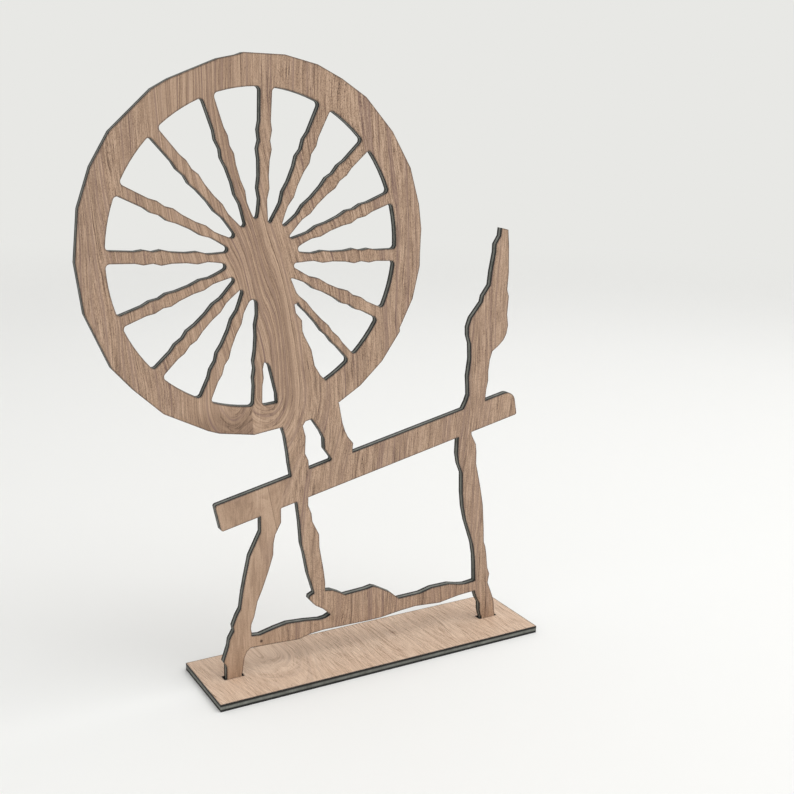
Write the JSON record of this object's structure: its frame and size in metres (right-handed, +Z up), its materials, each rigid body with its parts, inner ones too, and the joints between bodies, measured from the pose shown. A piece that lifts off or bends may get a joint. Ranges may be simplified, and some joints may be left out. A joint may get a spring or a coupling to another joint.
{
  "type": "spinning wheel silhouette ornament",
  "caption": "Freestanding board ornament cut to the outline of a treadle spinning wheel; its feet stand in slots in a base board and it lifts out.",
  "frame": {"origin": "centre of the base board's underside", "axes": "+X along the base board, to the right of the panel's front face; +Y to the back; +Z up"},
  "size_m": [0.3879, 0.0762, 0.4836],
  "materials": {
    "panel_walnut": "walnut veneer, grain upright, matt clear coat",
    "base_walnut": "paler walnut veneer, grain across the board, matt clear coat",
    "charred_core": "fibreboard edge charred by the laser, dark grey, matt"
  },
  "bodies": {
    "base": {"base_core": "charred_core", "base_top_veneer": "base_walnut", "base_bottom_veneer": "base_walnut"},
    "panel": {"panel_core": "charred_core", "panel_front_veneer": "panel_walnut", "panel_back_veneer": "panel_walnut"}
  },
  "joints": [
    {"name": "panel_lift", "type": "slide", "parent": "base", "child": "panel", "axis": [0, 0, 1], "range_m": [0, 0.012]}
  ]
}
